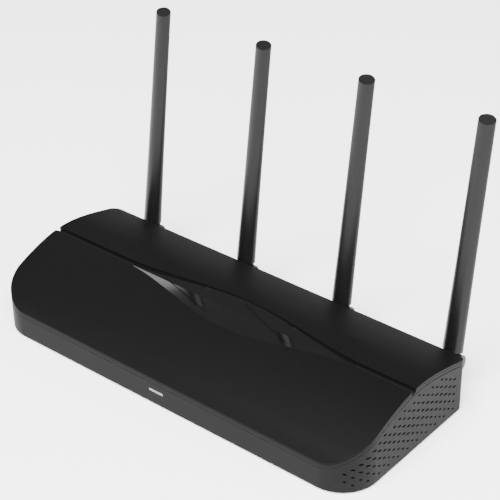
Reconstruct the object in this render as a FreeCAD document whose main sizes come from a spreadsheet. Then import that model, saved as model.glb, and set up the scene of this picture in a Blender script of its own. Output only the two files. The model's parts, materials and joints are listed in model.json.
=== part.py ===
import FreeCAD, Part
import math
import os
import re

# A wireless router: a low case with a humped lid and four folding antennas behind it.
# Millimetres. x runs to the right, y to the back, z up, with z = 0 at the feet's soles.

doc = FreeCAD.newDocument("Router")
sheet = doc.addObject("Spreadsheet::Sheet", "Sizes")

SIZES = (
    ("case_width", 260.0),
    ("case_depth", 104.0),
    ("crest_rise", 40.6),
    ("foot_rise", 1.2),
    ("wall_thick", 2.2),
    ("floor_thick", 2.2),
    ("corner_front", 22.0),
    ("corner_rear", 5.0),
    ("panel_thick", 1.3),
    ("panel_gap", 0.2),
    ("lid_thick", 1.7),
    ("seam_gap", 0.45),
    ("lip_thick", 1.5),
    ("lip_deep", 3.5),
    ("fit_gap", 0.3),
    ("slit_back", 1.5),
    ("slit_width", 3.4),
    ("slit_deep", 2.5),
    ("leaf_half", 88.0),
    ("leaf_front", 13.0),
    ("leaf_rear", 9.3),
    ("leaf_shift", 12.0),
    ("vent_pitch", 4.3),
    ("vent_rise", 4.96),
    ("vent_short", 2.4),
    ("vent_long", 4.3),
    ("vent_tall", 1.4),
    ("board_rise", 4.0),
    ("board_thick", 1.6),
    ("board_width", 210.0),
    ("board_front", 44.5),
    ("board_back", 48.0),
    ("post_radius", 3.2),
    ("screw_radius", 1.2),
    ("screw_play", 0.05),
    ("jack_wide", 16.2),
    ("jack_tall", 13.8),
    ("jack_deep", 21.0),
    ("plug_wide", 11.9),
    ("plug_tall", 8.2),
    ("jack_play", 0.25),
    ("power_x", 82.0),
    ("supply_x", 98.0),
    ("wan_x", 57.0),
    ("pair_x", 62.0),
    ("reset_x", 78.0),
    ("button_rise", 15.0),
    ("antenna_outer", 112.5),
    ("antenna_inner", 36.0),
    ("pin_back", 13.0),
    ("pin_rise", 16.2),
    ("pin_radius", 1.5),
    ("pin_play", 0.06),
    ("neck_radius", 5.0),
    ("neck_play", 0.07),
    ("fork_radius", 6.2),
    ("fork_gap", 3.15),
    ("fork_half", 6.2),
    ("arm_reach", 146.0),
    ("arm_lean", 8.0),
    ("bar_width", 10.1),
    ("bar_tall", 1.5),
    ("bar_x", -3.0),
)
for row, (alias, value) in enumerate(SIZES, 1):
    sheet.set("A%d" % row, alias)
    sheet.set("B%d" % row, str(value))
    sheet.setAlias("B%d" % row, alias)
doc.recompute()


def size(alias):
    return float(sheet.get(alias))


def formula(text):
    """Every word with an underscore in it is a size in the sheet."""
    return re.sub(r"[a-z]+(?:_[a-z]+)+", lambda word: "Sizes." + word.group(0), str(text))


V = FreeCAD.Vector
AXES = {
    "x": FreeCAD.Rotation(V(0, 0, 1), V(1, 0, 0)),
    "y": FreeCAD.Rotation(V(0, 0, 1), V(0, 1, 0)),
    "z": FreeCAD.Rotation(),
}
NODES = []


def seat(obj, place, turn="z"):
    obj.Placement = FreeCAD.Placement(V(), AXES[turn])
    for letter, text in zip("xyz", place):
        obj.setExpression("Placement.Base." + letter, formula(text))
    return obj


def block(name, place, dims):
    """A box from its low corner."""
    obj = doc.addObject("Part::Box", name)
    for prop, text in zip(("Length", "Width", "Height"), dims):
        obj.setExpression(prop, formula(text))
    return seat(obj, place)


def slab(name, middle, dims):
    """A box centred on x and y, standing on the given z."""
    low = ["(%s) - (%s) / 2" % (at, wide) for at, wide in zip(middle[:2], dims[:2])]
    return block(name, low + [middle[2]], dims)


def rod(name, axis, place, radius, length):
    """A round bar from the middle of its low end."""
    obj = doc.addObject("Part::Cylinder", name)
    obj.setExpression("Radius", formula(radius))
    obj.setExpression("Height", formula(length))
    return seat(obj, place, axis)


def group(name, members):
    obj = doc.addObject("Part::Compound", name)
    obj.Links = members
    return obj


def fuse(name, members):
    obj = doc.addObject("Part::MultiFuse", name)
    obj.Shapes = members
    return obj


def cut(name, base, tools):
    obj = doc.addObject("Part::Cut", name)
    obj.Base = base
    obj.Tool = tools[0] if len(tools) == 1 else group(name + "_tools", tools)
    return obj


def shaped(name, shape, placement=None):
    obj = doc.addObject("Part::Feature", name)
    obj.Shape = shape
    if placement:
        obj.Placement = placement
    return obj


def node(obj, name):
    obj.Label = name
    NODES.append(obj)
    return obj


# ---- the case's outline and its curved top ----

TOP = 60.0
REACH = 12.0
BACK = size("case_depth") / 2
# the lid's profile: hundredths of the case's depth, then of the crest's rise
PROFILE = (
    (-6, 22), (0, 41.5), (5, 55), (12, 66), (22, 78), (34, 89.5), (45, 97),
    (56, 100), (68, 98), (79, 92.5), (90, 85.5), (100, 78), (106, 73),
)


def profile_points():
    deep = size("case_depth") / 100
    rise = size("crest_rise") / 100
    return [(y * deep - BACK, z * rise + size("foot_rise")) for y, z in PROFILE]


def profile_at(y):
    """Height of the lid's top at y, straight between the profile's points."""
    points = profile_points()
    for (y0, z0), (y1, z1) in zip(points, points[1:]):
        if y <= y1:
            return z0 + (z1 - z0) * (y - y0) / (y1 - y0)
    return points[-1][1]


def plan(inset, low=0.0, high=TOP):
    """Upright prism on the case's rounded outline, drawn in by the inset."""
    side = size("case_width") / 2 - inset
    back = BACK - inset
    fronts = size("corner_front") - inset
    rears = max(size("corner_rear") - inset, 0.6)
    diagonal = math.sqrt(0.5)
    corners = ((-1, -1, fronts), (1, -1, fronts), (1, 1, rears), (-1, 1, rears))
    arcs = []
    for across, along, radius in corners:
        middle = V(across * (side - radius), along * (back - radius), low)
        ends = [middle + V(across * radius, 0, 0), middle + V(0, along * radius, 0)]
        if across * along < 0:
            ends.reverse()
        crown = middle + V(across * radius * diagonal, along * radius * diagonal, 0)
        arcs.append(Part.Arc(ends[0], crown, ends[1]).toShape())
    edges = []
    for arc, following in zip(arcs, arcs[1:] + arcs[:1]):
        edges.append(arc)
        edges.append(Part.makeLine(arc.lastVertex().Point, following.firstVertex().Point))
    return Part.Face(Part.Wire(edges)).extrude(V(0, 0, high - low))


def under(drop):
    """Everything below the lid's top when that is lowered by the drop."""
    side = size("case_width") / 2 + REACH
    points = [V(-side, y, z - drop) for y, z in profile_points()]
    curve = Part.BSplineCurve()
    curve.interpolate(points)
    low = -2 * REACH
    corners = [points[-1], V(-side, points[-1].y, low), V(-side, points[0].y, low), points[0]]
    sides = [Part.makeLine(a, b) for a, b in zip(corners, corners[1:])]
    return Part.Face(Part.Wire([curve.toShape()] + sides)).extrude(V(2 * side, 0, 0))


def bump(x, middle):
    """1 at the middle of the leaf and 0 at its tips, level at both."""
    share = min(abs(x - middle) / size("leaf_half"), 1.0)
    return (1 + math.cos(math.pi * share)) / 2


LEAF_STEPS = 14


def split_edge(side, inset=0.0):
    """One long edge of the split from left to right: straight, the leaf's curve, straight."""
    spread = size("leaf_front") if side < 0 else size("leaf_rear")
    middle = size("leaf_shift")
    level = size("slit_back") + side * (size("slit_width") / 2 - inset)
    half = size("leaf_half")
    xs = [middle - half + 2 * half * step / LEAF_STEPS for step in range(LEAF_STEPS + 1)]
    points = [V(x, level + side * spread * bump(x, middle), 0) for x in xs]
    curve = Part.BSplineCurve()
    curve.interpolate(points)
    far = size("case_width") / 2 + REACH
    left = Part.makeLine(V(-far, level, 0), points[0])
    right = Part.makeLine(points[-1], V(far, level, 0))
    return [left, curve.toShape(), right]


def region(edges, limit):
    """Upright prism between a left-to-right run of edges and a straight line at y = limit."""
    start = edges[0].firstVertex().Point
    end = edges[-1].lastVertex().Point
    rest = [end, V(end.x, limit, 0), V(start.x, limit, 0), start]
    sides = [Part.makeLine(a, b) for a, b in zip(rest, rest[1:])]
    return Part.Face(Part.Wire(edges + sides)).extrude(V(0, 0, TOP))


def valley(drop):
    """Everything above the inlay's two facets, which meet in a crease along the split."""
    middle = size("slit_back")
    front = middle - size("leaf_front") - size("slit_width") / 2
    rear = middle + size("leaf_rear") + size("slit_width") / 2
    side = size("case_width") / 2 + REACH
    line = [
        (front, profile_at(front) - 0.25),
        (middle, profile_at(middle) - size("slit_deep") + 0.8),
        (rear, profile_at(rear) - 0.25),
        (rear, TOP),
        (front, TOP),
    ]
    points = [V(-side, y, z - drop) for y, z in line]
    return Part.Face(Part.makePolygon(points + points[:1])).extrude(V(2 * side, 0, 0))


def sliver(tip, foot, width):
    """Upright prism of a groove that starts at a tip and widens to its foot."""
    start = V(tip[0], tip[1], 0)
    end = V(foot[0], foot[1], 0)
    along = (end - start).normalize()
    aside = V(-along.y, along.x, 0)
    points = [start + aside * 0.2, start - aside * 0.2, end - aside * 0.2, end + aside * width]
    return Part.Face(Part.makePolygon(points + points[:1])).extrude(V(0, 0, TOP))


LID_TOP = size("panel_thick") + size("panel_gap")
LID_LOW = LID_TOP + size("lid_thick")
WALL_TOP = LID_LOW + size("seam_gap")
FRONT_SIDE = region(split_edge(-1), -BACK - REACH)
REAR_SIDE = region(split_edge(1), BACK + REACH)
SHEET = plan(0.0).common(under(0.0)).cut(under(size("panel_thick")))

node(shaped("front_panel", SHEET.common(FRONT_SIDE)), "front_panel")
node(shaped("rear_panel", SHEET.common(REAR_SIDE)), "rear_panel")

# the leaf lies between the two sheets, a hair inside the split's edges
LEAF_GAP = 0.15
leaf_room = region(split_edge(-1, LEAF_GAP), BACK)
leaf_room = leaf_room.cut(region(split_edge(1, LEAF_GAP), BACK + REACH))
leaf_span = 2 * (size("leaf_half") - 8)
leaf_clip = Part.makeBox(leaf_span, 2 * BACK, TOP, V(size("leaf_shift") - leaf_span / 2, -BACK, 0))
leaf = leaf_room.common(leaf_clip).cut(under(size("slit_deep") - 0.1)).cut(valley(0.0))
for tip, foot in (((-44, 3.2), (-4, -9.0)), ((10, 9.5), (49, -5.0))):
    leaf = leaf.cut(sliver(tip, foot, 1.7).common(valley(0.45)))
node(shaped("centre_inlay", leaf), "centre_inlay")


# ---- the lid ----

SCREW_X = size("case_width") / 2 - 15.5
SCREW_SPOTS = ((-SCREW_X, -24.0), (SCREW_X, -24.0), (-SCREW_X, 28.0), (SCREW_X, 28.0))
FLOOR = size("foot_rise") + size("floor_thick")
PAD_TOP = FLOOR + 2.0
BOSS_RADIUS = 3.6


def lid_shape():
    low = under(LID_LOW)
    shell = plan(0.0).common(under(LID_TOP)).cut(low)
    split = plan(-1.0).cut(FRONT_SIDE).cut(REAR_SIDE)
    shell = shell.cut(split.cut(under(size("slit_deep"))))
    inset = size("wall_thick") + size("fit_gap")
    lip = plan(inset).cut(plan(inset + size("lip_thick")))
    lip = lip.common(under(LID_LOW - 0.3)).cut(under(LID_LOW + size("lip_deep")))
    rib = Part.makeBox(size("case_width"), 0.5, TOP, V(-size("case_width") / 2, size("slit_back") - 0.25, 0))
    rib = rib.cut(leaf_clip).common(under(LID_TOP + 0.1)).cut(under(size("slit_deep") + 0.2))
    bosses = []
    for x, y in SCREW_SPOTS:
        boss = Part.makeCylinder(BOSS_RADIUS, TOP, V(x, y, PAD_TOP + size("fit_gap")))
        bosses.append(boss.common(under(LID_LOW - 0.3)))
    body = shell.fuse([lip, rib] + bosses)
    hole = size("screw_radius") + size("screw_play")
    for x, y in SCREW_SPOTS:
        body = body.cut(Part.makeCylinder(hole, 12, V(x, y, PAD_TOP)))
    return body.removeSplitter()


node(shaped("upper_case", lid_shape()), "upper_case")


# ---- the tray with its perforated sides ----

def vent_prism(across, y, z, length):
    """One slanted lens-shaped hole through the side wall."""
    tall = size("vent_tall") / 2
    half = length / 2
    corners = ((-half, 0.5), (-half / 4, -tall), (half, -0.5), (half / 4, tall))
    start = size("case_width") / 2 - size("wall_thick") - 1.5
    points = [V(across * start, y + dy, z + dz) for dy, dz in corners]
    face = Part.Face(Part.makePolygon(points + points[:1]))
    return face.extrude(V(across * (size("wall_thick") + 3.0), 0, 0))


def vent_columns():
    """Distance of each column behind the front corner's end; below 0 it is on the corner."""
    pitch = size("vent_pitch")
    room = size("case_depth") - size("corner_front") - size("corner_rear") - 1.5
    first = -5
    return [(number, pitch * (number + 0.5)) for number in range(first, int(room / pitch))]


def vents():
    corner_y = -BACK + size("corner_front")
    middle_x = size("case_width") / 2 - size("corner_front")
    crown = size("foot_rise") + 20.0
    holes = []
    for number, run in vent_columns():
        turn = math.degrees(min(run, 0) / size("corner_front"))
        y = corner_y + max(run, 0)
        real_y = corner_y + max(run, 0) + size("corner_front") * math.sin(math.radians(turn))
        z = size("foot_rise") + 4.6 + (number % 2) * size("vent_rise") / 2
        while z < profile_at(real_y) - WALL_TOP - 2.4:
            swell = math.exp(-(((z - crown) / 8.5) ** 2))
            length = size("vent_short") + (size("vent_long") - size("vent_short")) * swell
            for across in (-1, 1):
                hole = vent_prism(across, y, z, length)
                hole.rotate(V(across * middle_x, corner_y, 0), V(0, 0, 1), across * turn)
                holes.append(hole)
            z += size("vent_rise")
    return Part.makeCompound(holes)


tray = plan(0.0, size("foot_rise")).common(under(WALL_TOP)).cut(plan(size("wall_thick"), FLOOR))
tray_shell = shaped("tray_shell", tray.cut(vents()))

BOARD_LOW = "foot_rise + floor_thick + board_rise"
BOARD_TOP = BOARD_LOW + " + board_thick"
FLOOR_TOP = "foot_rise + floor_thick"
POST_SPOTS = ((-96, -36), (96, -36), (-96, 22), (96, 22), (-10, -36))
solids = [tray_shell]
holes = []
for index, (x, y) in enumerate(POST_SPOTS):
    solids.append(rod("post_%d" % index, "z", (x, y, FLOOR_TOP + " - 0.5"), "post_radius", "board_rise + 0.5"))
    holes.append(rod("post_bore_%d" % index, "z", (x, y, FLOOR_TOP), "screw_radius + screw_play", "board_rise + 1"))
for index, (x, y) in enumerate(SCREW_SPOTS):
    solids.append(rod("pad_%d" % index, "z", (x, y, FLOOR_TOP + " - 0.5"), 6.0, 2.5))
    holes.append(rod("screw_way_%d" % index, "z", (x, y, "foot_rise - 1"), 1.6, 8))
    holes.append(rod("screw_sink_%d" % index, "z", (x, y, "foot_rise - 1"), 3.2, 3.0))
FOOT_SPOTS = ((-98, -32), (98, -32), (-98, 38), (98, 38))
for index, (x, y) in enumerate(FOOT_SPOTS):
    holes.append(rod("foot_seat_%d" % index, "z", (x, y, "foot_rise - 1"), 6.4, 1.8))
for index in range(13):
    holes.append(slab("floor_vent_%d" % index, ((index - 6) * 8 + 26, -8, "foot_rise - 1"), (2.5, 26, 6)))

# openings in the back wall
WALL_IN = "case_depth / 2 - wall_thick"
WALL_OUT = "case_depth / 2"
LAN_WIDE = "3 * jack_wide"


def jack_way(name, x, wide):
    at = (x, WALL_OUT + " - wall_thick / 2", BOARD_TOP + " - jack_play")
    return slab(name, at, (wide + " + 2 * jack_play", "wall_thick + 2", "jack_tall + 2 * jack_play"))


def wall_bore(name, x, z, radius):
    return rod(name, "y", (x, WALL_IN + " - 1", z), radius, "wall_thick + 2")


SUPPLY_RISE = BOARD_TOP + " + 5.6"
holes.append(jack_way("lan_way", 0, LAN_WIDE))
holes.append(jack_way("wan_way", "wan_x", "jack_wide"))
holes.append(wall_bore("supply_way", "supply_x", SUPPLY_RISE, "4.6 + jack_play"))
BUTTONS = (
    ("power", "power_x", 4.0, 2.2, 4.0),
    ("pair", "-pair_x", 3.0, 1.2, 3.0),
    ("reset", "-reset_x", 1.6, -2.6, 1.0 - 0.3),
)
for name, x, radius, proud, opening in BUTTONS:
    holes.append(wall_bore(name + "_way", x, "button_rise", "%s + fit_gap" % opening))
ANTENNAS = (
    ("1", "-antenna_outer", -1, 99.5),
    ("2", "-antenna_inner", -1, 36.0),
    ("3", "antenna_inner", 1, 36.0),
    ("4", "antenna_outer", 1, 99.5),
)
for number, x, hand, start in ANTENNAS:
    holes.append(wall_bore("neck_way_" + number, x, "pin_rise", "neck_radius + neck_play"))
BAR_RISE = BOARD_TOP + " - 0.1"
FRONT = "-case_depth / 2"
holes.append(block("bar_way", ("bar_x - bar_width / 2 - 0.1", FRONT + " - 1", BAR_RISE + " - 0.1"),
                   ("bar_width + 0.2", "wall_thick + 2", "bar_tall + 0.2")))
node(cut("lower_case", fuse("tray_body", solids), holes), "lower_case")

# ---- light bar and lamp ----

node(block("light_pipe", ("bar_x - bar_width / 2", FRONT, BAR_RISE), ("bar_width", 6.2, "bar_tall")), "light_pipe")
node(slab("status_led", ("bar_x", FRONT + " + 7.3", BOARD_TOP), (3.2, 1.6, 1.4)), "status_led")

# ---- board and what stands on it ----

board = slab("board_plate", (0, "(board_back - board_front) / 2", BOARD_LOW),
             ("board_width", "board_back + board_front", "board_thick"))
board_holes = [
    rod("board_hole_%d" % index, "z", (x, y, BOARD_LOW + " - 1"), 1.7, "board_thick + 2")
    for index, (x, y) in enumerate(POST_SPOTS)
]
node(cut("main_board", board, board_holes), "main_board")


def screw(name, x, y, seat_z, up):
    """A pan-head screw whose head lies against seat_z; up is the side its head is on."""
    long = 5.5 if up > 0 else 11.0
    if up > 0:
        head = rod(name + "_head", "z", (x, y, seat_z), 2.7, 1.8)
        shank = rod(name + "_shank", "z", (x, y, "%s - %s" % (seat_z, long)), "screw_radius", "%s + 0.5" % long)
    else:
        head = rod(name + "_head", "z", (x, y, "%s - 1.8" % seat_z), 2.7, 1.8)
        shank = rod(name + "_shank", "z", (x, y, "%s - 0.5" % seat_z), "screw_radius", "%s + 0.5" % long)
    recess = "%s + 1.0" % seat_z if up > 0 else "%s - 2.8" % seat_z
    cross = [slab(name + "_cross_a", (x, y, recess), (3.0, 0.6, 1.8)),
             slab(name + "_cross_b", (x, y, recess), (0.6, 3.0, 1.8))]
    return cut(name, fuse(name + "_blank", [head, shank]), [fuse(name + "_cross", cross)])


board_screws = [screw("board_screw_%d" % index, x, y, BOARD_TOP, 1) for index, (x, y) in enumerate(POST_SPOTS)]
node(group("board_screws", board_screws), "board_screws")
case_screws = [screw("case_screw_%d" % index, x, y, "foot_rise + 2", -1) for index, (x, y) in enumerate(SCREW_SPOTS)]
node(group("case_screws", case_screws), "case_screws")
feet = [
    rod("foot_%d" % index, "z", (x, y, 0), 6.0, "foot_rise + 0.8")
    for index, (x, y) in enumerate(FOOT_SPOTS)
]
node(group("rubber_feet", feet), "rubber_feet")
node(slab("rating_label", (-62, 8, "foot_rise - 0.2"), (64, 34, 0.2)), "rating_label")

CAN_SPOTS = ((26, -8, 38, 38), (-40, -14, 30, 26), (-40, 13, 30, 18))
cans = [slab("can_%d" % index, (x, y, BOARD_TOP), (wide, deep, 2.6))
        for index, (x, y, wide, deep) in enumerate(CAN_SPOTS)]
node(group("shield_cans", cans), "shield_cans")
node(slab("thermal_pad", (26, -8, BOARD_TOP + " + 2.6"), (32, 32, 0.8)), "thermal_pad")
SINK_LOW = BOARD_TOP + " + 3.4"
fins = [slab("sink_base", (26, -8, SINK_LOW), (42, 42, 2))]
fins += [slab("sink_fin_%d" % index, (26 + (index - 4) * 4.9, -8, SINK_LOW), (1.4, 42, 9)) for index in range(9)]
node(fuse("heat_sink", fins), "heat_sink")
coils = [slab("coil_%d" % index, (x, 22, BOARD_TOP), (13, 9, 5)) for index, x in enumerate((-16, 0, 16, 57))]
node(group("line_transformers", coils), "line_transformers")
tanks = [rod("tank_%d" % index, "z", (x, y, BOARD_TOP), 4.0, 11)
         for index, (x, y) in enumerate(((70, 22), (80, 14), (90, 4)))]
node(group("capacitors", tanks), "capacitors")


# ---- network sockets ----

def socket(name, x, count):
    """A row of square network sockets, each with its keyed mouth."""
    body = slab(name + "_body", (x, WALL_OUT + " - jack_deep / 2 - 0.1", BOARD_TOP),
                ("%d * jack_wide" % count, "jack_deep", "jack_tall"))
    mouths = []
    for index in range(count):
        middle = "(%s) + %s * jack_wide" % (x, index - (count - 1) / 2)
        for part, (wide, low, tall) in enumerate((("plug_wide", 4.0, "plug_tall"), (6.2, 2.5, 2), (3.2, 1.2, 2))):
            at = (middle, WALL_OUT + " - 6", BOARD_TOP + " + %s" % low)
            mouths.append(slab("%s_mouth_%d_%d" % (name, index, part), at, (wide, 15, tall)))
    return cut(name, body, [fuse(name + "_mouths", mouths)])


node(socket("lan_jacks", 0, 3), "lan_jacks")
node(socket("wan_jack", "wan_x", 1), "wan_jack")
wires = []
for index, middle in enumerate(("-jack_wide", "0 * jack_wide", "jack_wide", "wan_x")):
    for wire in range(8):
        at = ("%s + %s" % (middle, (wire - 3.5) * 1.02), WALL_OUT + " - 9", BOARD_TOP + " + 4 + plug_tall - 0.4")
        wires.append(slab("wire_%d_%d" % (index, wire), at, (0.4, 8, 0.4)))
node(group("jack_contacts", wires), "jack_contacts")

# ---- power inlet ----

inlet = fuse("inlet_body", [
    slab("inlet_block", ("supply_x", WALL_IN + " - 6.1", BOARD_TOP), (10, 11.6, 11)),
    rod("inlet_collar", "y", ("supply_x", WALL_IN + " - 1", SUPPLY_RISE), 4.6, "wall_thick + 0.9"),
])
inlet = cut("inlet_bored", inlet, [rod("inlet_bore", "y", ("supply_x", WALL_OUT + " - 9.5", SUPPLY_RISE), 3.0, 12)])
prong = rod("inlet_prong", "y", ("supply_x", WALL_OUT + " - 10", SUPPLY_RISE), 1.0, 8.6)
node(fuse("dc_jack", [inlet, prong]), "dc_jack")


# ---- push buttons, each on a stem that slides in its switch ----

def button(name, x, radius, proud):
    stem = rod(name + "_stem", "y", (x, WALL_IN + " - 9.8", "button_rise"), 1.5, 8.0)
    flange = rod(name + "_flange", "y", (x, WALL_IN + " - 2.2", "button_rise"), "%s + 1.2" % radius, 1.8)
    parts = [stem, flange]
    if proud > 0:
        long = "wall_thick + 0.9 + %s" % proud
        parts.append(rod(name + "_cap", "y", (x, WALL_IN + " - 0.9", "button_rise"), radius, long))
    return fuse(name + "_button", parts)


def switch(name, x):
    body = slab(name + "_case", (x, WALL_IN + " - 11.6", BOARD_TOP), (9, 8, "button_rise - (%s) + 4" % BOARD_TOP))
    bore = rod(name + "_bore", "y", (x, WALL_IN + " - 14.2", "button_rise"), 1.57, 8)
    return cut(name + "_switch", body, [bore])


for name, x, radius, proud, opening in BUTTONS:
    node(button(name, x, radius, proud), name + "_button")
    node(switch(name, x), name + "_switch")


# ---- antennas ----

PIN_BACK = WALL_OUT + " + pin_back"


def knuckle(number, x):
    """Turns in the back wall on its neck; its fork carries the pin that the arm folds on."""
    tag = "fork_%s_" % number
    solids = [
        rod(tag + "flange", "y", (x, WALL_IN + " - 2.6", "pin_rise"), "neck_radius + 1.6", 2.2),
        rod(tag + "neck", "y", (x, WALL_IN + " - 2.6", "pin_rise"), "neck_radius", "wall_thick + 3.4"),
        rod(tag + "collar", "y", (x, WALL_OUT + " + fit_gap", "pin_rise"), "neck_radius + 1.9", 1.7),
    ]
    barrel_start = WALL_OUT + " + fit_gap + 1"
    solids.append(rod(tag + "barrel", "y", (x, barrel_start, "pin_rise"), "neck_radius + 0.8",
                      "pin_back - fork_radius - fit_gap - 1.6"))
    for side, start in (("left", "(%s) - fork_half" % x), ("right", "(%s) + fork_gap" % x)):
        thick = "fork_half - fork_gap"
        solids.append(rod(tag + side, "x", (start, PIN_BACK, "pin_rise"), "fork_radius - 0.6", thick))
        at = (start, PIN_BACK + " - fork_radius - 2.8", "pin_rise - fork_radius + 1.2")
        solids.append(block(tag + side + "_root", at, (thick, "fork_radius + 2.8", "2 * fork_radius - 2.4")))
    bores = [
        rod(tag + "pin_bore", "x", ("(%s) - fork_half - 1" % x, PIN_BACK, "pin_rise"), "pin_radius + 0.02", "2 * fork_half + 2"),
        rod(tag + "lead_bore", "y", (x, WALL_IN + " - 4", "pin_rise"), 2.0, "wall_thick + 4"),
    ]
    return cut("knuckle_" + number, fuse(tag + "body", solids), bores)


def blade_section(z, wide, deep, inset):
    """Closed outline of the blade: two shallow arcs front and back, two tight ones at the edges."""
    half = wide / 2 - inset
    crown = deep / 2 - inset
    edge = crown * 0.55
    nose = half - crown * 0.3
    points = [V(-nose, -edge, z), V(0, -crown, z), V(nose, -edge, z), V(half, 0, z),
              V(nose, edge, z), V(0, crown, z), V(-nose, edge, z), V(-half, 0, z)]
    points.append(points[0])
    return Part.Wire([Part.Arc(*points[k:k + 3]).toShape() for k in (0, 2, 4, 6)])


# share of the reach, width, depth
BLADE = ((0.05, 12.6, 10.2), (0.2, 12.0, 9.0), (0.5, 11.2, 6.8), (1.0, 10.4, 5.6))


def blade(inset, start, stop):
    reach = size("arm_reach")
    sections = []
    for share, wide, deep in BLADE:
        height = min(max(share * reach, start), stop)
        sections.append(blade_section(height, wide, deep, inset))
    return Part.makeLoft(sections, True, False)


def sleeve_shape():
    reach = size("arm_reach")
    tongue = size("fork_gap") - size("fit_gap")
    eye = size("fork_radius") - 1.6
    outer = blade(0.0, 7.4, reach)
    tip = [V(-9, -4.2, reach - 5.5), V(-9, 3.2, reach + 0.1), V(-9, 3.2, reach + 4), V(-9, -4.2, reach + 4)]
    outer = outer.cut(Part.Face(Part.makePolygon(tip + tip[:1])).extrude(V(18, 0, 0)))
    outer = outer.cut(blade(1.3, 13.0, reach - 9))
    root = Part.makeBox(2 * tongue, 2 * eye, 9.0, V(-tongue, -eye, 0))
    knob = Part.makeCylinder(eye, 2 * tongue, V(-tongue, 0, 0), V(1, 0, 0))
    body = outer.fuse([root, knob])
    radius = size("pin_radius") + size("pin_play")
    return body.cut(Part.makeCylinder(radius, 20, V(-10, 0, 0), V(1, 0, 0))).removeSplitter()


def lead_shape(x, hand, start):
    """A thin coax from its plug on the board to the middle of the knuckle's neck."""
    pin_z = size("pin_rise")
    low = FLOOR + size("board_rise") + size("board_thick")
    inner = BACK - size("wall_thick")
    begin = V(hand * start, 26, low + 1.2)
    level = V(x, inner - 9, pin_z)
    poles = [begin, begin + V(0, 0, 5), V(begin.x, 29, pin_z), level, V(x, inner - 5, pin_z), V(x, inner + 1, pin_z)]
    curve = Part.BSplineCurve()
    curve.buildFromPoles(poles)
    ring = Part.Wire(Part.makeCircle(0.85, begin, V(0, 0, 1)))
    pipe = Part.Wire(curve.toShape()).makePipeShell([ring], True, True)
    plug = Part.makeCylinder(1.7, 1.6, V(begin.x, begin.y, low))
    return pipe.fuse(plug)


BOARD_INSET = 0.45
sleeve = sleeve_shape()
for number, x, hand, start in ANTENNAS:
    place = V(hand * size(x.strip("-")), BACK + size("pin_back"), size("pin_rise"))
    lean = FreeCAD.Placement(place, FreeCAD.Rotation(V(1, 0, 0), -size("arm_lean")))
    node(knuckle(number, x), "knuckle_" + number)
    pin = rod("hinge_pin_" + number, "x", ("(%s) - fork_half" % x, PIN_BACK, "pin_rise"), "pin_radius", "2 * fork_half")
    node(pin, "hinge_pin_" + number)
    node(shaped("sleeve_" + number, sleeve, lean), "sleeve_" + number)
    half = BLADE[-1][1] / 2 - 1.3 - BOARD_INSET
    strip = Part.makeBox(2 * half, 0.8, 90, V(-half, -0.4, 40))
    node(shaped("radiator_" + number, strip, lean), "radiator_" + number)
    node(shaped("antenna_lead_" + number, lead_shape(place.x, hand, start)), "antenna_lead_" + number)

doc.recompute()
for obj in doc.Objects:
    if "Invalid" in obj.State or "Error" in obj.State:
        raise RuntimeError("%s did not recompute: %s" % (obj.Name, obj.State))
os.makedirs("parts", exist_ok=True)
for obj in NODES:
    if obj.Shape.isNull() or not obj.Shape.isValid():
        raise RuntimeError("%s is not a valid shape" % obj.Label)
    obj.Shape.exportStep("parts/%s.step" % obj.Label)
    print(obj.Label, len(obj.Shape.Solids), round(obj.Shape.Volume, 1))
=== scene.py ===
# %% [markdown]
# # A wireless router with four folding antennas
#
# The CAD model already has every solid part in its place: the tray with its
# perforated sides, the humped lid, the two matte sheets with the glossy leaf
# between them, the antennas and everything on the board. This lesson gives
# those parts their edges and their finishes, adds the small trim that the
# drawing leaves out, and lights the router on a pale table.

# %% Load the model
import bmesh
import bpy
import json
import math
from mathutils import Matrix, Vector


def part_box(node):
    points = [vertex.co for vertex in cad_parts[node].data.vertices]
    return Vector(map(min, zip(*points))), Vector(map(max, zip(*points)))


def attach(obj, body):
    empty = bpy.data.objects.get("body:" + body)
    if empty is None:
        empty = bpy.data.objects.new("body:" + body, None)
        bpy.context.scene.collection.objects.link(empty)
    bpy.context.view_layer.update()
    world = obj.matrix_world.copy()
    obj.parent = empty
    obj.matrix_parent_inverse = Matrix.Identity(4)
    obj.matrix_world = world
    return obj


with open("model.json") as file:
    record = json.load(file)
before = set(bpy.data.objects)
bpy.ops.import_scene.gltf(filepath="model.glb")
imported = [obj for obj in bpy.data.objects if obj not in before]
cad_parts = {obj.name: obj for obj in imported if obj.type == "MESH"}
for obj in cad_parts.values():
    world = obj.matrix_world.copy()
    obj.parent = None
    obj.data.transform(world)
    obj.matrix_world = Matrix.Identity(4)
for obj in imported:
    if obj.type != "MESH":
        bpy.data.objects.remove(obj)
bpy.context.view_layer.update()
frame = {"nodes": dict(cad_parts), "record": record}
nodes = frame["nodes"]
print(len(nodes), "parts loaded")

# %% [markdown]
# ## Soft edges
#
# A moulded part never has a knife edge, and it is the thin bright line along
# an edge that makes black plastic readable. Three ways could give it: rounding
# in the drawing, a rounded normal in the finish, or a bevel modifier. The
# modifier is used, because it follows every hole's rim and can be set for each
# part. The loaded meshes are split along their sharp edges, so a weld goes
# first or the bevel would find nothing to round.

# %% Bevels
WELD_REACH = 1e-6
SHARP_ANGLE = 32.0
FACE_WEIGHT = 80
# the inlay's facets are true planes, so they are left flat
FLAT = ("centre_inlay",)


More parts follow.
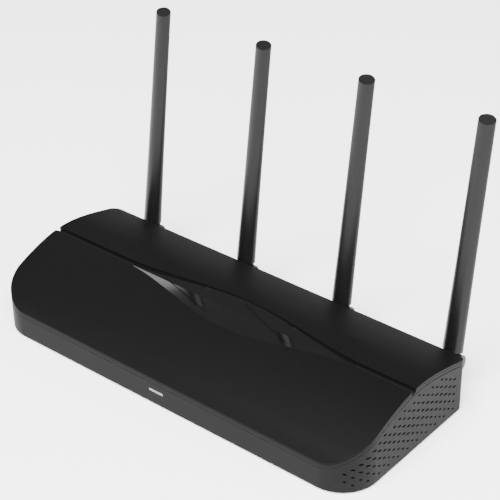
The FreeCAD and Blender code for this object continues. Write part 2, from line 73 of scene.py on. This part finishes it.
def soften(name, width):
    """Weld the split edges, then round the sharp ones by the given width in metres."""
    piece = nodes[name]
    weld = piece.modifiers.new("weld", "WELD")
    weld.merge_threshold = WELD_REACH
    bevel = piece.modifiers.new("bevel", "BEVEL")
    bevel.width = width
    bevel.segments = 2
    bevel.limit_method = "ANGLE"
    bevel.angle_limit = math.radians(SHARP_ANGLE)
    bevel.use_clamp_overlap = True
    bevel.harden_normals = False
    for face in piece.data.polygons:
        face.use_smooth = name not in FLAT
    weighted = piece.modifiers.new("normals", "WEIGHTED_NORMAL")
    weighted.keep_sharp = True
    weighted.weight = FACE_WEIGHT


EDGES = {
    "front_panel": 0.0005, "rear_panel": 0.0005, "centre_inlay": 0.00012,
    "upper_case": 0.00025, "lower_case": 0.0002, "light_pipe": 0.00015,
    "lan_jacks": 0.0002, "wan_jack": 0.0002, "dc_jack": 0.0002,
    "power_button": 0.0004, "pair_button": 0.0004, "rubber_feet": 0.0005,
    "case_screws": 0.0002, "heat_sink": 0.0002,
}
for number in "1234":
    EDGES["knuckle_" + number] = 0.0005
    EDGES["sleeve_" + number] = 0.0005
    EDGES["hinge_pin_" + number] = 0.0002
for name, width in EDGES.items():
    soften(name, width)
print(len(EDGES), "parts given soft edges")

# %% [markdown]
# ## Shared surface effects
#
# Most of the router is black plastic out of a steel mould, in four grades:
# spark-textured case, satin sheets, polished leaf, satin antennas. They share
# three effects, each kept in a node group so that it is written once:
#
# * **mould_grain** tilts the normal with fine noise; on the textured case and
#   the satin parts its largest grains are a quarter to six tenths of a millimetre
# * **handling** is a slow patchy value, for skin oil and dust that shift the
#   roughness a little
# * **edge_rub** is a mask that rises in patches along edges, where plastic
#   polishes and pales with use

# %% Node groups
def new_group(name, inputs, outputs):
    group = bpy.data.node_groups.new(name, "ShaderNodeTree")
    for label, default in inputs:
        socket = group.interface.new_socket(name=label, in_out="INPUT", socket_type="NodeSocketFloat")
        socket.default_value = default
    for label, kind in outputs:
        group.interface.new_socket(name=label, in_out="OUTPUT", socket_type=kind)
    start = group.nodes.new("NodeGroupInput")
    end = group.nodes.new("NodeGroupOutput")
    return group, start, end


def math_node(tree, operation, first, second, clamp=False):
    made = tree.nodes.new("ShaderNodeMath")
    made.operation = operation
    made.use_clamp = clamp
    for slot, value in enumerate((first, second)):
        if isinstance(value, (int, float)):
            made.inputs[slot].default_value = value
        else:
            tree.links.new(value, made.inputs[slot])
    return made.outputs[0]


def noise_node(tree, vector, scale, detail=3.0, rough=0.6):
    made = tree.nodes.new("ShaderNodeTexNoise")
    if isinstance(scale, (int, float)):
        made.inputs["Scale"].default_value = scale
    else:
        tree.links.new(scale, made.inputs["Scale"])
    made.inputs["Detail"].default_value = detail
    made.inputs["Roughness"].default_value = rough
    tree.links.new(vector, made.inputs["Vector"])
    return made.outputs["Fac"]


GRAIN_DEPTH = 0.00012
grain, start, end = new_group(
    "mould_grain",
    [("Scale", 2500.0), ("Strength", 0.3)],
    [("Normal", "NodeSocketVector"), ("Pits", "NodeSocketFloat")],
)
where = grain.nodes.new("ShaderNodeTexCoord").outputs["Object"]
fine = noise_node(grain, where, start.outputs["Scale"], 4.0, 0.7)
cells = grain.nodes.new("ShaderNodeTexVoronoi")
grain.links.new(where, cells.inputs["Vector"])
grain.links.new(math_node(grain, "MULTIPLY", start.outputs["Scale"], 0.6), cells.inputs["Scale"])
height = math_node(grain, "ADD", fine, math_node(grain, "MULTIPLY", cells.outputs["Distance"], 0.5))
bump = grain.nodes.new("ShaderNodeBump")
bump.inputs["Distance"].default_value = GRAIN_DEPTH
grain.links.new(start.outputs["Strength"], bump.inputs["Strength"])
grain.links.new(height, bump.inputs["Height"])
grain.links.new(bump.outputs["Normal"], end.inputs["Normal"])
grain.links.new(fine, end.inputs["Pits"])

# patches about 45 mm across with spots of 3 mm on them; the mix of the two
# averages 0.7, so that is taken off before it swings the roughness
BROAD_SCALE = 22.0
SPOT_SCALE = 340.0
SPOT_SHARE = 0.4
MIX_MIDDLE = 0.7
SWING_GAIN = 3.0
handling, start, end = new_group(
    "handling", [("Base", 0.4), ("Spread", 0.08)], [("Roughness", "NodeSocketFloat")])
where = handling.nodes.new("ShaderNodeTexCoord").outputs["Object"]
broad = noise_node(handling, where, BROAD_SCALE, 5.0, 0.55)
small = noise_node(handling, where, SPOT_SCALE, 3.0, 0.6)
mix = math_node(handling, "ADD", broad, math_node(handling, "MULTIPLY", small, SPOT_SHARE))
centred = math_node(handling, "SUBTRACT", mix, MIX_MIDDLE)
swing = math_node(handling, "MULTIPLY", centred, start.outputs["Spread"])
grown = math_node(handling, "MULTIPLY", swing, SWING_GAIN)
handling.links.new(math_node(handling, "ADD", start.outputs["Base"], grown, True), end.inputs["Roughness"])

RUB_REACH = 0.0005
RUB_GAIN = 6.0
RUB_PATCHES = 420.0
rub, start, end = new_group(
    "edge_rub", [("Amount", 0.5)], [("Mask", "NodeSocketFloat")])
where = rub.nodes.new("ShaderNodeTexCoord").outputs["Object"]
round_edge = rub.nodes.new("ShaderNodeBevel")
round_edge.samples = 4
round_edge.inputs["Radius"].default_value = RUB_REACH
flat = rub.nodes.new("ShaderNodeNewGeometry")
dot = rub.nodes.new("ShaderNodeVectorMath")
dot.operation = "DOT_PRODUCT"
rub.links.new(round_edge.outputs["Normal"], dot.inputs[0])
rub.links.new(flat.outputs["Normal"], dot.inputs[1])
turned = math_node(rub, "MULTIPLY", math_node(rub, "SUBTRACT", 1.0, dot.outputs["Value"]), RUB_GAIN, True)
patchy = math_node(rub, "MULTIPLY", turned, noise_node(rub, where, RUB_PATCHES))
rub.links.new(math_node(rub, "MULTIPLY", patchy, start.outputs["Amount"]), end.inputs["Mask"])
print("groups:", [group.name for group in bpy.data.node_groups])

# %% [markdown]
# ## Finishes
#
# One function lays the shared effects under a Principled shader and each
# finish differs only in its numbers. Colour varies by up to about a tenth with
# the grain's pits, because a textured black surface holds a trace of dust. The
# rub mask both pales the colour and lowers the roughness, as worn plastic does.

# %% Plastic
WORN_GAIN = 1.8
WORN_LIFT = 0.004
WORN_POLISH = 0.12


def finish(
    name, colour, rough, spread=0.05, scale=2500.0, strength=0.25,
    edge=0.4, metal=0.0, dust=0.25, gloss=0.5,
):
    """A material that lays grain, handling and edge rub over one colour and roughness."""
    material = bpy.data.materials.new(name)
    material.use_nodes = True
    tree = material.node_tree
    shader = tree.nodes["Principled BSDF"]

    def group_node(group, **values):
        made = tree.nodes.new("ShaderNodeGroup")
        made.node_tree = group
        for label, value in values.items():
            made.inputs[label].default_value = value
        return made

    texture = group_node(grain, Scale=scale, Strength=strength)
    touch = group_node(handling, Base=rough, Spread=spread)
    worn = group_node(rub, Amount=edge)
    ramp = tree.nodes.new("ShaderNodeMix")
    ramp.data_type = "RGBA"
    ramp.inputs["A"].default_value = (*[c * (1 - dust) for c in colour], 1)
    ramp.inputs["B"].default_value = (*[c * (1 + dust) for c in colour], 1)
    tree.links.new(texture.outputs["Pits"], ramp.inputs["Factor"])
    pale = tree.nodes.new("ShaderNodeMix")
    pale.data_type = "RGBA"
    pale.inputs["B"].default_value = (*[min(1.0, c * WORN_GAIN + WORN_LIFT) for c in colour], 1)
    tree.links.new(worn.outputs["Mask"], pale.inputs["Factor"])
    tree.links.new(ramp.outputs["Result"], pale.inputs["A"])
    tree.links.new(pale.outputs["Result"], shader.inputs["Base Color"])
    smooth = math_node(tree, "MULTIPLY", worn.outputs["Mask"], WORN_POLISH)
    polished = math_node(tree, "SUBTRACT", touch.outputs["Roughness"], smooth, True)
    tree.links.new(polished, shader.inputs["Roughness"])
    tree.links.new(texture.outputs["Normal"], shader.inputs["Normal"])
    shader.inputs["Metallic"].default_value = metal
    shader.inputs["Specular IOR Level"].default_value = gloss
    return material


BLACK = (0.017, 0.017, 0.018)
CASE = (0.0032, 0.0032, 0.0033)
SHEET = (0.0018, 0.0018, 0.0019)
LEAF = (0.002, 0.002, 0.0021)
ANTENNA = (0.0025, 0.0025, 0.0026)
finishes = {
    "case_black": finish("spark_textured_black", CASE, 0.56, 0.04, 1700.0, 0.45, 0.4, gloss=0.07),
    "panel_black": finish("satin_sheet_black", SHEET, 0.48, 0.03, 3600.0, 0.12, 0.2, gloss=0.045),
    "inlay_gloss": finish("piano_black", LEAF, 0.05, 0.008, 900.0, 0.006, 0.1),
    "antenna_black": finish("antenna_satin_black", ANTENNA, 0.34, 0.05, 3000.0, 0.10, 0.3, gloss=0.2),
    "button_black": finish("button_satin_black", BLACK, 0.40, 0.05, 2800.0, 0.12, 0.5),
    "jack_black": finish("socket_black", BLACK, 0.45, 0.05, 2200.0, 0.18, 0.3),
    "switch_body": finish("switch_body_black", (0.03, 0.03, 0.03), 0.5),
    "coil_black": finish("coil_case_black", (0.025, 0.025, 0.025), 0.45),
    "foot_rubber": finish("foot_rubber_black", (0.022, 0.022, 0.022), 0.8, 0.05, 1300.0, 0.5, 0.2),
    "lead_grey": finish("lead_sheath_grey", (0.09, 0.09, 0.09), 0.55, 0.04, 900.0, 0.2, 0.0),
    "pad_grey": finish("thermal_pad_grey", (0.30, 0.33, 0.36), 0.8, 0.05, 700.0, 0.5, 0.0),
    "board_green": finish("solder_mask_green", (0.012, 0.075, 0.035), 0.3, 0.05, 500.0, 0.1, 0.2),
    "label_silver": finish("label_film_silver", (0.42, 0.42, 0.42), 0.42, 0.06, 1500.0, 0.08, 0.0, metal=0.3),
    "lamp_white": finish("lamp_body_white", (0.75, 0.72, 0.6), 0.4),
    "screw_steel": finish("zinc_plated_steel", (0.42, 0.42, 0.43), 0.32, 0.08, 900.0, 0.2, 0.3, metal=1.0),
    "pin_steel": finish("ground_pin_steel", (0.5, 0.5, 0.5), 0.2, 0.05, 1400.0, 0.06, 0.2, metal=1.0),
    "shield_tin": finish("tin_plate", (0.6, 0.6, 0.58), 0.35, 0.08, 300.0, 0.08, 0.2, metal=1.0),
    "sink_aluminium": finish(
        "extruded_aluminium", (0.62, 0.63, 0.64), 0.35, 0.06, 1200.0, 0.15, 0.3, metal=1.0),
    "capacitor_shell": finish("can_sleeve_blue", (0.03, 0.05, 0.12), 0.35, 0.05, 600.0, 0.06, 0.2),
    "contact_gold": finish("gold_flash", (0.75, 0.53, 0.2), 0.22, 0.05, 1500.0, 0.05, 0.1, metal=1.0),
}
print(len(finishes), "plastic and metal finishes")

# %% [markdown]
# ## The light bar
#
# The bar is clear plastic with a frosted inner face, unlit here. Full glass
# would only show the dark case behind it, so part of the light is scattered
# inside: a partly transmissive shader with a grey body does that, and its
# roughness drifts slightly along the bar.

# %% Frosted bar
bar = finish("frosted_bar", (0.16, 0.165, 0.17), 0.35, 0.06, 900.0, 0.05, 0.1, dust=0.05)
bar_shader = bar.node_tree.nodes["Principled BSDF"]
bar_shader.inputs["Transmission Weight"].default_value = 0.25
bar_shader.inputs["Subsurface Weight"].default_value = 0.3
bar_shader.inputs["Subsurface Scale"].default_value = 0.001
finishes["light_bar"] = bar
for part in frame["record"]["subparts"]:
    piece = nodes[part["node"]]
    piece.data.materials.clear()
    piece.data.materials.append(finishes[part["material_slot"]])

# %% [markdown]
# ## Rims round the ports
#
# On the back wall the network sockets sit inside thin raised rims, which keep
# a plug's hood off the wall. A rim could be cut from a block, but it is quicker
# as a rounded outline with a hole: the outline is drawn twice, the two loops
# are bridged into a ring, the ring is pulled out of the wall, and its outer
# edges are bevelled.

# %% Port rims
INNER_RADIUS = 0.0006
OUTER_RADIUS = 0.0012
RIM_GAP = 0.0004
RIM_BAND = 0.0009
RIM_PROUD = 0.0005
RIM_SUNK = 0.0002
RIM_BEVEL = 0.0002


def rounded_outline(mesh, low, high, y, radius, steps=4):
    """A closed loop of vertices on the wall, anticlockwise seen from behind it."""
    made = []
    spots = ((high[0], high[1], 0), (low[0], high[1], 90), (low[0], low[1], 180), (high[0], low[1], 270))
    for x, z, turn in spots:
        middle_x = x - radius * (1 if turn in (0, 270) else -1)
        middle_z = z - radius * (1 if turn in (0, 90) else -1)
        for step in range(steps + 1):
            angle = math.radians(turn + 90 * step / steps)
            x_here = middle_x + radius * math.cos(angle)
            z_here = middle_z + radius * math.sin(angle)
            made.append(mesh.verts.new((x_here, y, z_here)))
    return [mesh.edges.new((a, b)) for a, b in zip(made, made[1:] + made[:1])]


def port_rim(name, around):
    """A raised rim on the back wall round the given part."""
    low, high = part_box(around)
    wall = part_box("lower_case")[1].y
    mesh = bmesh.new()
    loops = []
    for grow, radius in ((RIM_GAP, INNER_RADIUS), (RIM_GAP + RIM_BAND, OUTER_RADIUS)):
        corner_low = (low.x - grow, low.z - grow)
        corner_high = (high.x + grow, high.z + grow)
        loops += rounded_outline(mesh, corner_low, corner_high, wall - RIM_SUNK, radius)
    bmesh.ops.bridge_loops(mesh, edges=loops)
    pulled = bmesh.ops.extrude_face_region(mesh, geom=mesh.faces[:])
    tops = [item for item in pulled["geom"] if isinstance(item, bmesh.types.BMVert)]
    bmesh.ops.translate(mesh, verts=tops, vec=(0, RIM_PROUD + RIM_SUNK, 0))
    bmesh.ops.recalc_face_normals(mesh, faces=mesh.faces[:])
    raised = [e for e in mesh.edges if all(v in tops for v in e.verts) and e.calc_face_angle(0) > 1]
    bmesh.ops.bevel(
        mesh, geom=raised, offset=RIM_BEVEL, segments=2, profile=0.5, affect="EDGES", material=-1)
    data = bpy.data.meshes.new(name)
    mesh.to_mesh(data)
    mesh.free()
    piece = bpy.data.objects.new(name, data)
    bpy.context.scene.collection.objects.link(piece)
    data.materials.append(finishes["case_black"])
    for face in data.polygons:
        face.use_smooth = True
    piece.modifiers.new("normals", "WEIGHTED_NORMAL").keep_sharp = True
    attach(piece, "case")
    print(name, len(data.polygons), "faces")


port_rim("lan_rim", "lan_jacks")
port_rim("wan_rim", "wan_jack")

# %% [markdown]
# ## Table and lights
#
# The table is one pale sheet, far larger than the view. Black plastic shows
# only what it mirrors, so the sky above is kept dim and the shape is drawn by
# four soft boxes: a broad one overhead that whitens the table, one on the right
# that lifts the perforated side, a weak one on the left for the front corner,
# and a long thin one behind on the left, put there for the glossy leaf.

# %% Table
TABLE_REACH = 6.0
TABLE_GREY = 0.86
table_mesh = bmesh.new()
bmesh.ops.create_grid(table_mesh, x_segments=1, y_segments=1, size=TABLE_REACH)
table_data = bpy.data.meshes.new("table")
table_mesh.to_mesh(table_data)
table_mesh.free()
table = bpy.data.objects.new("table", table_data)
bpy.context.scene.collection.objects.link(table)
paint = bpy.data.materials.new("table_white")
paint.use_nodes = True
paint_shader = paint.node_tree.nodes["Principled BSDF"]
paint_shader.inputs["Base Color"].default_value = (TABLE_GREY, TABLE_GREY, TABLE_GREY, 1)
paint_shader.inputs["Roughness"].default_value = 0.7
table_data.materials.append(paint)
print("table", 2 * TABLE_REACH, "m wide")

# %% Soft boxes
SKY = 0.25
# each box: its place and what it faces in metres, its width and height, its watts
SOFT_BOXES = {
    "overhead": ((0.5, -1.1, 1.9), (0, 0.2, 0), 2.2, 2.2, 420.0),
    "right_side": ((1.5, 0.35, 0.42), (0, 0, 0.03), 0.9, 0.6, 48.0),
    "left_front": ((-1.2, -1.3, 0.35), (0, 0, 0.03), 0.5, 0.5, 10.0),
    "back_left": ((-1.15, 1.13, 1.22), (0, 0, 0.04), 2.4, 0.3, 9.0),
}


def soft_box(name, place, target, wide, tall, power):
    """An area lamp that faces the given point; it stays with the stage."""
    lamp = bpy.data.lights.new(name, "AREA")
    lamp.shape = "RECTANGLE"
    lamp.size = wide
    lamp.size_y = tall
    lamp.energy = power
    holder = bpy.data.objects.new(name, lamp)
    bpy.context.scene.collection.objects.link(holder)
    holder.location = place
    holder.rotation_euler = (Vector(target) - Vector(place)).to_track_quat("-Z", "Y").to_euler()


for name, settings in SOFT_BOXES.items():
    soft_box(name, *settings)
world = bpy.data.worlds.new("studio")
world.use_nodes = True
world.node_tree.nodes["Background"].inputs["Color"].default_value = (1, 1, 1, 1)
world.node_tree.nodes["Background"].inputs["Strength"].default_value = SKY
bpy.context.scene.world = world
print(len(bpy.data.lights), "soft boxes")

# %% [markdown]
# ## Camera
#
# The router is seen from above its front right corner. The camera is set from
# its place, its two angles and its roll, which says exactly where it looks
# without a target object.

# %% Camera
AZIMUTH = 39.94
ELEVATION = 32.13
ROLL = -0.93
PLACE = (0.4777, -0.5435, 0.5312)
SENSOR = 36.0
LENS = 112.4352


def view_matrix():
    """The camera's turn from its three angles in degrees, with its place."""
    azimuth, elevation, roll = (math.radians(a) for a in (AZIMUTH, ELEVATION, ROLL))
    flat_way = math.cos(elevation)
    back = Vector((math.sin(azimuth) * flat_way, -math.cos(azimuth) * flat_way, math.sin(elevation)))
    right = Vector((math.cos(azimuth), math.sin(azimuth), 0.0))
    up = back.cross(right)
    rolled_right = right * math.cos(roll) + up * math.sin(roll)
    rolled_up = up * math.cos(roll) - right * math.sin(roll)
    matrix = Matrix((rolled_right, rolled_up, back)).transposed().to_4x4()
    matrix.translation = Vector(PLACE)
    return matrix


lens = bpy.data.cameras.new("camera")
lens.sensor_width = SENSOR
lens.lens = LENS
lens.clip_start = 0.01
lens.dof.use_dof = False
camera = bpy.data.objects.new("camera", lens)
bpy.context.scene.collection.objects.link(camera)
camera.matrix_world = view_matrix()
bpy.context.scene.camera = camera
print("lens", round(lens.lens, 1), "mm")
